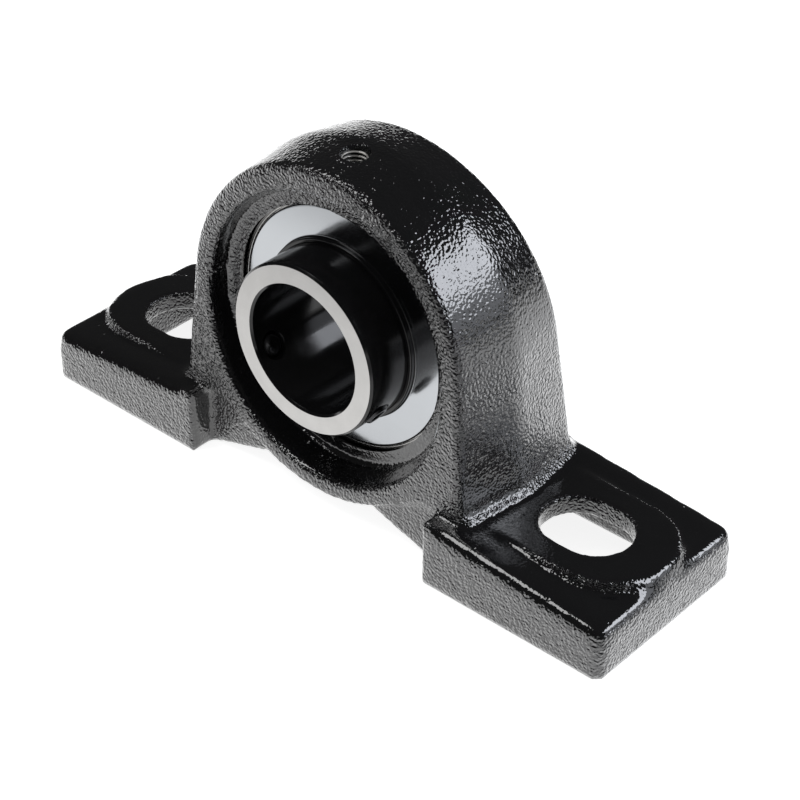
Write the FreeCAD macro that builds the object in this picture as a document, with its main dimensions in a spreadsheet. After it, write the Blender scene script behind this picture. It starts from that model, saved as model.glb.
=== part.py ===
# Pillow block bearing: a cast two-bolt housing that holds a self-aligning ball bearing insert.
# Lengths are in millimetres. X runs along the base and Z points up.
# The shaft runs along Y, and the set screws are on the front, which faces -Y.
# The origin is the middle of the underside of the base.
import FreeCAD, Part
import math
import os
import re
import Sketcher

doc = FreeCAD.newDocument("pillow_block")

SIZES = [
    ("centre_height", 42.9, "shaft centre above the underside"),
    ("base_length", 165.0, "over both feet"),
    ("base_width", 46.9, "feet, front to back"),
    ("foot_gap", 69.2, "clear length between the two feet"),
    ("foot_end_height", 12.4, "foot at its outer end"),
    ("foot_root_height", 16.2, "foot where it meets the body"),
    ("foot_corner", 3.0, "upright corner rounding of a foot"),
    ("foot_inner_corner", 1.3, "the same beside the web"),
    ("foot_edge", 1.2, "rounding along the top of a foot"),
    ("boss_height", 15.4, "level pad under the bolt head"),
    ("boss_width", 29.4, "pad across the slot"),
    ("boss_reach", 81.6, "end of the pad from the middle"),
    ("bolt_spacing", 121.0, "between the slot centres"),
    ("slot_length", 21.0, "end to end"),
    ("slot_width", 17.0, "across the slot"),
    ("plate_thickness", 5.0, "foot plate left above the hollow"),
    ("foot_wall", 6.8, "wall round the hollow of a foot"),
    ("web_width", 34.0, "web between the feet, front to back"),
    ("web_wall", 6.0, "front and back wall of the hollow web"),
    ("web_top", 16.0, "height where the web ends in the body"),
    ("arch_height", 6.6, "arch under the web"),
    ("arch_flat", 26.0, "level part of the arch"),
    ("head_radius", 41.0, "ring of the housing at its parting line"),
    ("head_draft", 8.0, "draft of the ring and flanks, degrees"),
    ("head_width", 33.8, "body across the faces at the shaft centre"),
    ("face_slope", 3.4, "lean of the front and back faces, degrees"),
    ("back_lean", 3.6, "what the back face leans more than the front, degrees"),
    ("flank_lean", 5.5, "lean of the flanks, wider at the feet, degrees"),
    ("head_edge", 1.8, "rounding round the faces"),
    ("shoulder_height", 15.3, "underside of the flanks beside the ring"),
    ("shoulder_root", 30.0, "start of the sweep down to the ring"),
    ("shoulder_sweep", 30.0, "where the sweep meets the ring, degrees off plumb"),
    ("root_fillet", 4.5, "hollow between flank and foot"),
    ("recess_radius", 32.2, "recess in front of the insert, at its floor"),
    ("recess_draft", 17.0, "draft of the recess wall, degrees"),
    ("recess_edge", 1.2, "rounding of the mouth"),
    ("seat_width", 23.0, "ball seat that grips the insert"),
    ("seat_gap", 0.05, "between the insert and its seat"),
    ("loading_gap", 0.4, "room round the insert in the loading slots"),
    ("grease_offset", 5.0, "grease port in front of the middle"),
    ("grease_bore", 5.2, "tapped hole of the grease port"),
    ("grease_depth", 7.0, "depth of the tapped hole"),
    ("grease_duct", 3.0, "duct from the tapped hole to the insert"),
    ("grease_mouth", 6.8, "chamfer of the grease port"),
    ("grease_chamfer", 0.9, "depth of that chamfer"),
    ("shaft_dia", 30.0, "bore of the inner ring"),
    ("inner_width", 38.1, "length of the inner ring"),
    ("inner_back", 15.9, "back face from the middle of the balls"),
    ("collar_dia", 40.2, "outside of the inner ring"),
    ("ring_chamfer", 0.5, "edges of the inner ring"),
    ("outer_dia", 62.0, "ball-shaped outside of the outer ring"),
    ("outer_width", 19.0, "outer ring"),
    ("outer_chamfer", 0.3, "edges of the outer ring"),
    ("outer_land", 52.4, "outer ring beside the ball groove"),
    ("ball_dia", 9.525, "ball"),
    ("ball_count", 9, "balls"),
    ("pitch_dia", 46.0, "circle through the ball centres"),
    ("groove_radius", 4.95, "ball grooves in both rings"),
    ("race_gap", 0.02, "ball to groove"),
    ("oil_groove_width", 2.4, "grease groove round the outer ring"),
    ("oil_groove_depth", 0.9, "its depth"),
    ("oil_hole", 1.5, "hole from that groove to the balls"),
    ("seal_seat", 54.8, "seat of the seal in the outer ring"),
    ("seal_inner_face", 6.6, "inside of the seal from the middle"),
    ("seal_thickness", 1.0, "seal"),
    ("seal_bead", 1.4, "seal rim in its seat"),
    ("seal_gap", 0.05, "seal lip to the inner ring"),
    ("flinger_dia", 56.6, "thrower plate"),
    ("flinger_gap", 0.25, "thrower plate to the outer ring"),
    ("flinger_face", 9.9, "front of the thrower from the middle"),
    ("flinger_sheet", 0.8, "thrower sheet"),
    ("flinger_rim", 1.5, "turned rim of the thrower"),
    ("flinger_hub_dia", 42.2, "hub of the thrower"),
    ("flinger_hub_wall", 1.05, "wall of that hub, down to its seat on the inner ring"),
    ("flinger_hub", 11.2, "end of that hub from the middle"),
    ("cage_inner", 43.2, "inside of the cage"),
    ("cage_outer", 48.8, "outside of the cage"),
    ("cage_sheet", 0.6, "cage sheet"),
    ("pocket_gap", 0.15, "cage to ball"),
    ("rivet_dia", 1.2, "cage rivet"),
    ("rivet_head_dia", 2.2, "its heads"),
    ("rivet_head", 0.5, "height of a head"),
    ("rivet_gap", 0.03, "rivet to its hole"),
    ("screw_dia", 5.9, "set screw over its thread"),
    ("screw_gap", 0.05, "set screw to its tapped hole"),
    ("screw_length", 5.0, "set screw"),
    ("screw_inset", 5.0, "set screws behind the front face"),
    ("screw_retreat", 0.6, "tip of the screw back from the bore"),
    ("screw_cup", 3.0, "cup point"),
    ("screw_chamfer", 0.6, "edges of the screw"),
    ("screw_socket", 3.0, "hexagon across flats"),
    ("screw_socket_depth", 2.4, "its depth"),
    ("screw_angle", 207.0, "first set screw, degrees from +X towards +Z"),
    ("screw_spread", 120.0, "between the set screws, degrees"),
]

sheet = doc.addObject("Spreadsheet::Sheet", "sizes")
for row, (alias, number, note) in enumerate(SIZES, start=1):
    sheet.set(f"A{row}", alias)
    sheet.set(f"B{row}", str(number))
    sheet.set(f"C{row}", note)
    sheet.setAlias(f"B{row}", alias)
doc.recompute()

ALIASES = {alias for alias, number, note in SIZES}
CLEAR = "200"
PROUD = "5"
TOE_SINK = "1"
NEAR = 0.1
FRONT = -1
BACK = 1
SCREW_COUNT = 2


def size(text):
    """Value of an expression over the sheet, such as 'ball_dia / 2'."""
    return float(sheet.evalExpression(text))


def bound(text):
    """The same expression as an object outside the sheet has to write it."""
    return re.sub(r"[a-z_]+", lambda word: "sizes." + word[0] if word[0] in ALIASES else word[0], text)


def bind(thing, path, text):
    thing.setExpression(path, bound(text))


def new_body(name, on_shaft=True):
    """A body whose own frame stands on the shaft centre, or on the base."""
    body = doc.addObject("PartDesign::Body", name)
    body.Label = name
    if on_shaft:
        bind(body, ".Placement.Base.z", "centre_height")
    return body


def origin_part(body, role):
    return next(part for part in body.Origin.OriginFeatures if part.Role == role)


def new_sketch(body, name, plane, shift=None):
    """Sketch on an origin plane; shift moves it along the plane's x, y and normal."""
    sketch = body.newObject("Sketcher::SketchObject", name)
    sketch.AttachmentSupport = [(origin_part(body, plane), "")]
    sketch.MapMode = "FlatFace"
    for axis, text in (shift or {}).items():
        bind(sketch, f".AttachmentOffset.Base.{axis}", text)
    return sketch


def pin(sketch, edge, end, x, y):
    """Hold one end of an edge at x, y from the sketch's origin."""
    for kind, text, axis in (("DistanceX", x, -2), ("DistanceY", y, -1)):
        if text == "0":
            sketch.addConstraint(Sketcher.Constraint("PointOnObject", edge, end, axis))
        else:
            index = sketch.addConstraint(Sketcher.Constraint(kind, -1, 1, edge, end, size(text)))
            bind(sketch, f"Constraints[{index}]", text)


def arc_between(start, end, radius, turn):
    """Short arc that leaves its chord to the left (turn 1) or to the right (turn -1)."""
    chord = end - start
    across = FreeCAD.Vector(-chord.y, chord.x, 0).normalize()
    rise = math.sqrt(radius ** 2 - chord.Length ** 2 / 4)
    middle = (start + end) / 2 - across * (turn * rise)
    first, last = (end, start) if turn > 0 else (start, end)
    angles = [math.atan2(point.y - middle.y, point.x - middle.x) for point in (first, last)]
    if angles[1] < angles[0]:
        angles[1] += 2 * math.pi
    return Part.ArcOfCircle(Part.Circle(middle, FreeCAD.Vector(0, 0, 1), radius), *angles)


def outline(sketch, corners):
    """Closed outline; a corner is x, y, and if an arc leaves it, that arc's radius and turn."""
    points = [FreeCAD.Vector(size(corner[0]), size(corner[1]), 0) for corner in corners]
    base = sketch.GeometryCount
    ends = []
    for index, corner in enumerate(corners):
        start, end = points[index], points[(index + 1) % len(corners)]
        if len(corner) == 2:
            sketch.addGeometry(Part.LineSegment(start, end), False)
            ends.append((1, 2))
        else:
            sketch.addGeometry(arc_between(start, end, size(corner[2]), corner[3]), False)
            ends.append((2, 1) if corner[3] > 0 else (1, 2))
    for index, corner in enumerate(corners):
        following = (index + 1) % len(corners)
        joined = (base + index, ends[index][1], base + following, ends[following][0])
        sketch.addConstraint(Sketcher.Constraint("Coincident", *joined))
        pin(sketch, base + index, ends[index][0], corner[0], corner[1])
        if len(corner) > 2:
            radius = Sketcher.Constraint("Radius", base + index, size(corner[2]))
            bind(sketch, f"Constraints[{sketch.addConstraint(radius)}]", corner[2])


def circle(sketch, x, y, dia):
    centre = FreeCAD.Vector(size(x), size(y), 0)
    ring = Part.Circle(centre, FreeCAD.Vector(0, 0, 1), size(dia) / 2)
    edge = sketch.addGeometry(ring, False)
    pin(sketch, edge, 3, x, y)
    index = sketch.addConstraint(Sketcher.Constraint("Diameter", edge, size(dia)))
    bind(sketch, f"Constraints[{index}]", dia)


def extrude(body, kind, name, sketch, length, both=False, backwards=False):
    """Pad or pocket of a length; both means half of it to each side of the sketch."""
    feature = body.newObject(kind, name)
    feature.Profile = sketch
    bind(feature, "Length", length)
    if both:
        feature.SideType = "Symmetric"
    feature.Reversed = backwards
    sketch.Visibility = False
    return feature


def pad(body, name, sketch, length, **sides):
    return extrude(body, "PartDesign::Pad", name, sketch, length, **sides)


def pocket(body, name, sketch, length, **sides):
    return extrude(body, "PartDesign::Pocket", name, sketch, length, **sides)


def turned(body, name, sketch, axis=None, cut=False):
    """Full turn of a sketch about its own upright axis, or about an origin axis."""
    feature = body.newObject("PartDesign::Groove" if cut else "PartDesign::Revolution", name)
    feature.Profile = sketch
    feature.ReferenceAxis = (origin_part(body, axis), [""]) if axis else (sketch, ["V_Axis"])
    feature.Angle = 360
    sketch.Visibility = False
    return feature


def polar(body, name, feature, count):
    """Copies of a feature round the shaft."""
    pattern = body.newObject("PartDesign::PolarPattern", name)
    pattern.Originals = [feature]
    pattern.Axis = (origin_part(body, "Y_Axis"), [""])
    pattern.Angle = 360
    bind(pattern, "Occurrences", count)
    body.Tip = pattern
    return pattern


def rounded(body, name, picks, radius):
    """Fillet of the tip's edges for which picks is true."""
    doc.recompute()
    tip = body.Tip
    edges = [f"Edge{index}" for index, edge in enumerate(tip.Shape.Edges, start=1) if picks(edge)]
    feature = body.newObject("PartDesign::Fillet", name)
    feature.Base = (tip, edges)
    bind(feature, "Radius", radius)
    return feature


def mirrored(text, side):
    """The text for the right or back side, or its negative for the left or front side."""
    return text if side > 0 else f"-({text})"


def upright(edge):
    return edge.BoundBox.XLength < 0.01 and edge.BoundBox.YLength < 0.01


# Housing

FOOT_ROOT = "foot_gap / 2"
FOOT_END = "base_length / 2"
FOOT_FALL = f"((foot_root_height - foot_end_height) / ({FOOT_END} - {FOOT_ROOT}))"
HOLLOW_ROOF = "boss_height - plate_thickness"


def housing_base():
    """Two feet joined by an arched web, hollow from below, with a slot and a pad in each foot."""
    body = new_body("housing_base", on_shaft=False)
    for side, name in ((1, "right"), (-1, "left")):
        foot = new_sketch(body, f"{name}_foot_outline", "XZ_Plane")
        root = mirrored(FOOT_ROOT, side)
        end = mirrored(FOOT_END, side)
        outline(foot, [(root, "0"), (end, "0"), (end, "foot_end_height"), (root, "foot_root_height")])
        pad(body, f"{name}_foot", foot, "base_width", both=True)
    half_width = size("base_width") / 2
    outer = size(FOOT_END)

    def on_side(edge):
        return upright(edge) and abs(edge.BoundBox.YMin) > half_width - NEAR

    rounded(body, "foot_corners",
            lambda edge: on_side(edge) and abs(edge.BoundBox.XMin) > outer - NEAR, "foot_corner")
    rounded(body, "foot_inner_corners", on_side, "foot_inner_corner")
    low = size("foot_end_height")
    corner = size("foot_corner") + NEAR

    def on_top_rim(edge):
        middle = edge.BoundBox.Center
        outside = abs(middle.y) > half_width - corner or abs(middle.x) > outer - corner
        return edge.BoundBox.ZMin > low - NEAR and abs(middle.x) > outer / 2 and outside

    rounded(body, "foot_top_edges", on_top_rim, "foot_edge")
    web = new_sketch(body, "web_outline", "XZ_Plane")
    spring = f"({FOOT_ROOT} + foot_edge)"
    outline(web, [
        (f"-{spring}", "0"), (f"-({FOOT_ROOT})", "0"),
        ("-arch_flat / 2", "arch_height"), ("arch_flat / 2", "arch_height"),
        (FOOT_ROOT, "0"), (spring, "0"), (spring, "web_top"), (f"-{spring}", "web_top"),
    ])
    pad(body, "web", web, "web_width", both=True)
    for side, name in ((1, "right"), (-1, "left")):
        half = "boss_width / 2"
        boss = new_sketch(body, f"{name}_boss_outline", "XY_Plane", {"z": HOLLOW_ROOF})
        start = mirrored("head_radius - root_fillet / 2", side)
        bend = mirrored("boss_reach - boss_width / 2", side)
        tip = mirrored("boss_reach", side)
        outline(boss, [
            (start, f"-{half}"), (bend, f"-{half}", half, -side), (tip, "0", half, -side),
            (bend, half), (start, half),
        ])
        pad(body, f"{name}_boss", boss, "plate_thickness")
    hollow = new_sketch(body, "hollow_outline", "XY_Plane")
    far = "base_length / 2 - foot_wall"
    near = "foot_gap / 2 + foot_wall"
    wide = "base_width / 2 - foot_wall"
    slim = "web_width / 2 - web_wall"
    outline(hollow, [
        (far, f"-({wide})"), (far, wide), (near, wide), (near, slim), (f"-({near})", slim),
        (f"-({near})", wide), (f"-({far})", wide), (f"-({far})", f"-({wide})"),
        (f"-({near})", f"-({wide})"), (f"-({near})", f"-({slim})"), (near, f"-({slim})"),
        (near, f"-({wide})"),
    ])
    pocket(body, "hollow", hollow, HOLLOW_ROOF, backwards=True)
    slots = new_sketch(body, "slot_outlines", "XY_Plane")
    for side in (1, -1):
        middle = mirrored("bolt_spacing / 2", side)
        reach = "(slot_length - slot_width) / 2"
        tip = "slot_length / 2"
        half = "slot_width / 2"
        outline(slots, [
            (f"{middle} + {reach}", f"-{half}", half, -1), (f"{middle} + {tip}", "0", half, -1),
            (f"{middle} + {reach}", half), (f"{middle} - {reach}", half, half, -1),
            (f"{middle} - {tip}", "0", half, -1), (f"{middle} - {reach}", f"-{half}"),
        ])
    pocket(body, "slots", slots, CLEAR, backwards=True)
    return body


# Shapes that the head shares: the back's lean, the half depth before the lean is cut, the radius there.
BACK_SLOPE = "(face_slope + back_lean)"
BLANK = "(head_width / 2 + root_fillet)"
FACE_RADIUS = f"(head_radius - {BLANK} * tan(head_draft))"


def foot_top(x):
    """Height of a foot's sloping top at a distance from the middle."""
    return f"(foot_root_height - ({x} - {FOOT_ROOT}) * {FOOT_FALL})"


def toe_of(radius):
    """Distance from the middle where the hollow under a leaning flank meets the foot's top."""
    fall = f"(centre_height - foot_root_height - root_fillet - {FOOT_ROOT} * {FOOT_FALL})"
    return (f"(({radius} + root_fillet + {fall} * sin(flank_lean))"
            f" / (cos(flank_lean) - {FOOT_FALL} * sin(flank_lean)))")


def on_leaning_face(point):
    """True if a point lies on the front or back face of the head."""
    lean = math.tan(math.radians(size("face_slope" if point.y < 0 else BACK_SLOPE)))
    face = size("head_width / 2") + (size("centre_height") - point.z) * lean
    return abs(abs(point.y) - face) < 0.02


def on_face_rim(edge):
    """True for the outer rim of a leaning face, from one flank over the crown to the other."""
    ends = [vertex.Point for vertex in edge.Vertexes]
    middle = edge.valueAt((edge.FirstParameter + edge.LastParameter) / 2)
    reach = math.hypot(middle.x, max(middle.z - size("centre_height"), 0))
    outside = reach > size("(head_radius + outer_dia / 2) / 2") and middle.z > size("foot_root_height + root_fillet")
    return outside and all(on_leaning_face(point) for point in ends + [middle])


def housing_head():
    """Drafted ring with flanks that run down to the feet, cut to its leaning faces."""
    body = new_body("housing_head", on_shaft=False)
    ring = new_sketch(body, "ring_section", "XY_Plane", {"z": "centre_height"})
    core = f"outer_dia / 2 - {PROUD}"
    outline(ring, [
        (core, f"-{BLANK}"), (FACE_RADIUS, f"-{BLANK}"), ("head_radius", "0"),
        (FACE_RADIUS, BLANK), (core, BLANK),
    ])
    turned(body, "ring", ring)
    sections = []
    for name, shift, radius in (
        ("flank_front", BLANK, FACE_RADIUS), ("flank_middle", "0", "head_radius"),
        ("flank_back", f"-{BLANK}", FACE_RADIUS),
    ):
        section = new_sketch(body, name, "XZ_Plane", {"z": shift})
        sweep_x = f"{radius} * sin(shoulder_sweep)"
        sweep_z = f"centre_height - {radius} * cos(shoulder_sweep)"
        top_x = f"{radius} * cos(flank_lean)"
        top_z = f"centre_height + {radius} * sin(flank_lean)"
        toe = toe_of(radius)
        toe_z = foot_top(toe)
        heel = f"({toe} - root_fillet * cos(flank_lean))"
        heel_z = f"{toe_z} + root_fillet * (1 - sin(flank_lean))"
        outline(section, [
            (top_x, top_z), (f"-{top_x}", top_z),
            (f"-{heel}", heel_z, "root_fillet", 1), (f"-{toe}", toe_z),
            (f"-{toe}", f"shoulder_height - {TOE_SINK}"), ("-shoulder_root", "shoulder_height"),
            (f"-{sweep_x}", sweep_z), (sweep_x, sweep_z),
            ("shoulder_root", "shoulder_height"), (toe, f"shoulder_height - {TOE_SINK}"),
            (toe, toe_z, "root_fillet", 1), (heel, heel_z),
        ])
        sections.append(section)
    flanks = body.newObject("PartDesign::AdditiveLoft", "flanks")
    flanks.Profile = sections[0]
    flanks.Sections = sections[1:]
    flanks.Ruled = True
    body.Tip = flanks
    for side, name, slope in ((FRONT, "front", "face_slope"), (BACK, "back", BACK_SLOPE)):
        lean = new_sketch(body, f"{name}_face_line", "YZ_Plane")
        top = f"centre_height + head_radius + {PROUD}"
        low = mirrored(f"(head_width / 2 + (centre_height + {PROUD}) * tan({slope}))", side)
        high = mirrored(f"(head_width / 2 - (head_radius + {PROUD}) * tan({slope}))", side)
        away = mirrored(f"{BLANK} + {PROUD}", side)
        outline(lean, [(low, f"-{PROUD}"), (away, f"-{PROUD}"), (away, top), (high, top)])
        pocket(body, f"{name}_face", lean, CLEAR, both=True)
    rounded(body, "face_edges", on_face_rim, "head_edge")
    return body


def on_mouth(edge):
    """True for the rim of the front or back opening."""
    middle = edge.valueAt((edge.FirstParameter + edge.LastParameter) / 2)
    reach = math.hypot(middle.x, middle.z - size("centre_height"))
    return on_leaning_face(middle) and size("outer_dia / 2") < reach < size("(head_radius + outer_dia / 2) / 2")


def housing():
    """The casting: base and head in one, bored for the insert and tapped for grease."""
    base = housing_base()
    body = housing_head()
    body.Label = "housing"
    joined = body.newObject("PartDesign::Boolean", "base_and_head")
    joined.setObjects([base])
    joined.Type = "Fuse"
    seat = new_sketch(body, "seat_section", "XY_Plane", {"z": "centre_height"})
    half = "(seat_width / 2)"
    ball = "(outer_dia / 2 + seat_gap)"
    lip = f"sqrt({ball} ^ 2 - {half} ^ 2)"
    out = f"({BLANK} + {PROUD})"
    mouth = f"(recess_radius + ({out} - {half}) * tan(recess_draft))"
    outline(seat, [
        ("0", f"-{out}"), (mouth, f"-{out}"), ("recess_radius", f"-{half}"),
        (lip, f"-{half}", ball, -1), (lip, half), ("recess_radius", half),
        (mouth, out), ("0", out),
    ])
    turned(body, "seat", seat, cut=True)
    loading = new_sketch(body, "loading_outline", "XZ_Plane", {"y": "centre_height"})
    deep = "(outer_dia / 2 + loading_gap)"
    tall = "(outer_width / 2 + loading_gap)"
    wide = f"sqrt({deep} ^ 2 - {tall} ^ 2)"
    outline(loading, [
        (wide, f"-{tall}", deep, -1), (wide, tall), (f"-{wide}", tall, deep, -1), (f"-{wide}", f"-{tall}"),
    ])
    pocket(body, "loading_slots", loading, out)
    grease = new_sketch(body, "grease_port_section", "YZ_Plane", {"x": "-grease_offset"})
    crown = "(centre_height + head_radius - grease_offset * tan(head_draft))"
    floor = f"({crown} - grease_depth)"
    outline(grease, [
        ("0", "centre_height"), ("grease_duct / 2", "centre_height"), ("grease_duct / 2", floor),
        ("grease_bore / 2", floor), ("grease_bore / 2", f"{crown} - grease_chamfer"),
        ("grease_mouth / 2", crown), ("grease_mouth / 2", f"{crown} + {PROUD}"), ("0", f"{crown} + {PROUD}"),
    ])
    turned(body, "grease_port", grease, cut=True)
    rounded(body, "mouths", on_mouth, "recess_edge")
    return body


# Insert

HUB_SEAT = "(flinger_hub_dia / 2 - flinger_hub_wall)"
SHEET_BACK = "(flinger_face - flinger_sheet)"
SCREW_ALONG = "-(inner_width - inner_back - screw_inset)"


def ring_body(name, corners):
    """A piece turned about the shaft; each corner is its radius and its place along Y."""
    body = new_body(name)
    section = new_sketch(body, f"{name}_section", "XY_Plane")
    outline(section, corners)
    turned(body, f"{name}_turned", section, axis="Y_Axis")
    return body


def outer_ring():
    """Ball-shaped outside, ball groove, and a stepped seat for seal and thrower at each end."""
    half = "(outer_width / 2)"
    ball = "(outer_dia / 2)"
    corner = f"(sqrt({ball} ^ 2 - {half} ^ 2) - outer_chamfer)"
    chamfer_y = f"({half} - outer_chamfer)"
    chamfer_r = f"sqrt({ball} ^ 2 - {chamfer_y} ^ 2)"
    mouth = "(flinger_dia / 2 + flinger_gap)"
    floor = "(flinger_face - flinger_rim - flinger_gap)"
    middle = "(pitch_dia / 2 + ball_dia / 2 + race_gap - groove_radius)"
    shore = f"sqrt(groove_radius ^ 2 - (outer_land / 2 - {middle}) ^ 2)"
    groove_r = f"sqrt({ball} ^ 2 - (grease_offset - oil_groove_width / 2) ^ 2)"
    groove_end_r = f"sqrt({ball} ^ 2 - (grease_offset + oil_groove_width / 2) ^ 2)"
    groove_floor = f"({groove_end_r} - oil_groove_depth)"
    front = []
    for side in (FRONT, BACK):
        front.append([
            (chamfer_r, mirrored(chamfer_y, side)), (corner, mirrored(half, side)),
            (mouth, mirrored(half, side)), (mouth, mirrored(floor, side)),
            ("seal_seat / 2", mirrored(floor, side)), ("seal_seat / 2", mirrored("seal_inner_face", side)),
            ("outer_land / 2", mirrored("seal_inner_face", side)), ("outer_land / 2", mirrored(shore, side)),
        ])
    first, last = front
    first[-1] += ("groove_radius", -1)
    back = list(reversed(last))
    back[-1] += (ball, 1)
    oil = [
        (groove_r, "-(grease_offset - oil_groove_width / 2)"),
        (groove_floor, "-(grease_offset - oil_groove_width / 2)"),
        (groove_floor, "-(grease_offset + oil_groove_width / 2)"),
        (groove_end_r, "-(grease_offset + oil_groove_width / 2)", ball, 1),
    ]
    body = ring_body("outer_ring", first + back + oil)
    hole = new_sketch(body, "oil_hole_outline", "XY_Plane")
    circle(hole, "0", "-grease_offset", "oil_hole")
    pocket(body, "oil_hole", hole, "outer_dia", backwards=True)
    return body


def inner_ring():
    """Long ring with its ball groove and two tapped holes for the set screws."""
    middle = "(pitch_dia / 2 - ball_dia / 2 - race_gap + groove_radius)"
    shore = f"sqrt(groove_radius ^ 2 - ({middle} - collar_dia / 2) ^ 2)"
    near = "(inner_width - inner_back)"
    seats = []
    for side in (FRONT, BACK):
        seats.append([
            ("collar_dia / 2", mirrored("flinger_hub", side)), (HUB_SEAT, mirrored("flinger_hub", side)),
            (HUB_SEAT, mirrored(SHEET_BACK, side)), ("collar_dia / 2", mirrored(SHEET_BACK, side)),
        ])
    body = ring_body("inner_ring", [
        ("shaft_dia / 2 + ring_chamfer", f"-{near}"), ("collar_dia / 2 - ring_chamfer", f"-{near}"),
        ("collar_dia / 2", f"-({near} - ring_chamfer)"), *seats[0],
        ("collar_dia / 2", f"-{shore}", "groove_radius", 1), ("collar_dia / 2", shore),
        *reversed(seats[1]), ("collar_dia / 2", "inner_back - ring_chamfer"),
        ("collar_dia / 2 - ring_chamfer", "inner_back"), ("shaft_dia / 2 + ring_chamfer", "inner_back"),
        ("shaft_dia / 2", "inner_back - ring_chamfer"), ("shaft_dia / 2", f"-({near} - ring_chamfer)"),
    ])
    for index in range(SCREW_COUNT):
        tap = new_sketch(body, f"screw_hole_{index + 1}_outline", "XY_Plane")
        circle(tap, "0", SCREW_ALONG, "screw_dia + 2 * screw_gap")
        pocket(body, f"screw_hole_{index + 1}", tap, "collar_dia", backwards=True)
        tap.AttachmentOffset.Rotation = FreeCAD.Rotation(FreeCAD.Vector(0, 1, 0), 0)
        bind(tap, ".AttachmentOffset.Rotation.Angle", f"90 - ({screw_turn(index)})")
    return body


def screw_turn(index):
    """Angle of a set screw from +X towards +Z."""
    return f"screw_angle + {index} * screw_spread"


def place_round(thing, angle, radius, along="0"):
    """Stand a thing on a circle round the shaft, at an angle from +X towards +Z."""
    bind(thing, ".Placement.Base.x", f"{radius} * cos({angle})")
    bind(thing, ".Placement.Base.y", along)
    bind(thing, ".Placement.Base.z", f"centre_height + {radius} * sin({angle})")


def set_screw(index):
    """Cup-point set screw with a hexagon socket, standing along a radius of the inner ring."""
    body = new_body(f"set_screw_{index + 1}", on_shaft=False)
    half = "(screw_dia / 2)"
    section = new_sketch(body, f"set_screw_{index + 1}_section", "XZ_Plane")
    outline(section, [
        ("0", "screw_cup / 4"), ("screw_cup / 2", "0"), (f"{half} - screw_chamfer", "0"),
        (half, "screw_chamfer"), (half, "screw_length - screw_chamfer"),
        (f"{half} - screw_chamfer", "screw_length"), ("0", "screw_length"),
    ])
    turned(body, f"set_screw_{index + 1}_turned", section)
    socket = new_sketch(body, f"set_screw_{index + 1}_socket", "XY_Plane", {"z": "screw_length"})
    corner = "screw_socket / sqrt(3)"
    outline(socket, [
        (f"{corner} * cos({60 * side + 30})", f"{corner} * sin({60 * side + 30})") for side in range(6)
    ])
    pocket(body, f"set_screw_{index + 1}_hexagon", socket, "screw_socket_depth")
    turn = screw_turn(index)
    body.Placement.Rotation = FreeCAD.Rotation(FreeCAD.Vector(0, 1, 0), 0)
    bind(body, ".Placement.Rotation.Angle", f"90 - ({turn})")
    place_round(body, f"({turn})", "(shaft_dia / 2 + screw_retreat)", SCREW_ALONG)
    return body


def cage_half(name, side):
    """One pressed half of the cage: a flat band that arches over each ball."""
    body = new_body(name)
    depth = "cage_outer / 2 - cage_inner / 2"
    inside = "(ball_dia / 2 + pocket_gap)"
    outside = f"({inside} + cage_sheet)"
    band = new_sketch(body, f"{name}_band_outline", "XZ_Plane")
    circle(band, "0", "0", "cage_outer")
    circle(band, "0", "0", "cage_inner")
    pad(body, f"{name}_band", band, "cage_sheet", backwards=side > 0)
    arch = new_sketch(body, f"{name}_arch_outline", "YZ_Plane", {"z": "cage_inner / 2"})
    crown = mirrored(outside, side)
    outline(arch, [
        ("0", f"-{outside}", outside, -side), (crown, "0", outside, -side), ("0", outside),
    ])
    polar(body, f"{name}_arches", pad(body, f"{name}_arch", arch, depth), "ball_count")
    room = new_sketch(body, f"{name}_pocket_outline", "YZ_Plane", {"z": "cage_inner / 2 - cage_sheet"})
    crown = mirrored(inside, side)
    outline(room, [
        ("0", f"-{inside}", inside, -side), (crown, "0", inside, -side), ("0", inside),
    ])
    pockets = pocket(body, f"{name}_pocket", room, f"{depth} + 2 * cage_sheet", backwards=True)
    polar(body, f"{name}_pockets", pockets, "ball_count")
    hole = new_sketch(body, f"{name}_rivet_hole_outline", "XZ_Plane")
    turn = "(180 / ball_count)"
    circle(hole, f"pitch_dia / 2 * cos({turn})", f"pitch_dia / 2 * sin({turn})", "rivet_dia + 2 * rivet_gap")
    holes = pocket(body, f"{name}_rivet_hole", hole, "cage_sheet * 4", both=True)
    polar(body, f"{name}_rivet_holes", holes, "ball_count")
    return body


def ball(index):
    piece = doc.addObject("Part::Sphere", f"ball_{index + 1}")
    bind(piece, "Radius", "ball_dia / 2")
    place_round(piece, f"({index} * 360 / ball_count)", "pitch_dia / 2")
    return piece


def cage_rivets():
    """Rivets between the balls, each a shank with a head at both ends."""
    rivets = []
    for index in range(int(size("ball_count"))):
        angle = f"(({index} + 0.5) * 360 / ball_count)"
        parts = []
        for name, dia, start, end in (
            ("shank", "rivet_dia", "-cage_sheet", "cage_sheet"),
            ("front_head", "rivet_head_dia", "-(cage_sheet + rivet_head)", "-cage_sheet"),
            ("back_head", "rivet_head_dia", "cage_sheet", "cage_sheet + rivet_head"),
        ):
            solid = doc.addObject("Part::Cylinder", f"rivet_{index + 1}_{name}")
            bind(solid, "Radius", f"{dia} / 2")
            bind(solid, "Height", f"{end} - ({start})")
            solid.Placement.Rotation = FreeCAD.Rotation(FreeCAD.Vector(1, 0, 0), -90)
            place_round(solid, angle, "pitch_dia / 2", start)
            parts.append(solid)
        rivet = doc.addObject("Part::MultiFuse", f"rivet_{index + 1}")
        rivet.Shapes = parts
        rivets.append(rivet)
    group = doc.addObject("Part::Compound", "cage_rivets")
    group.Links = rivets
    return group


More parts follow.
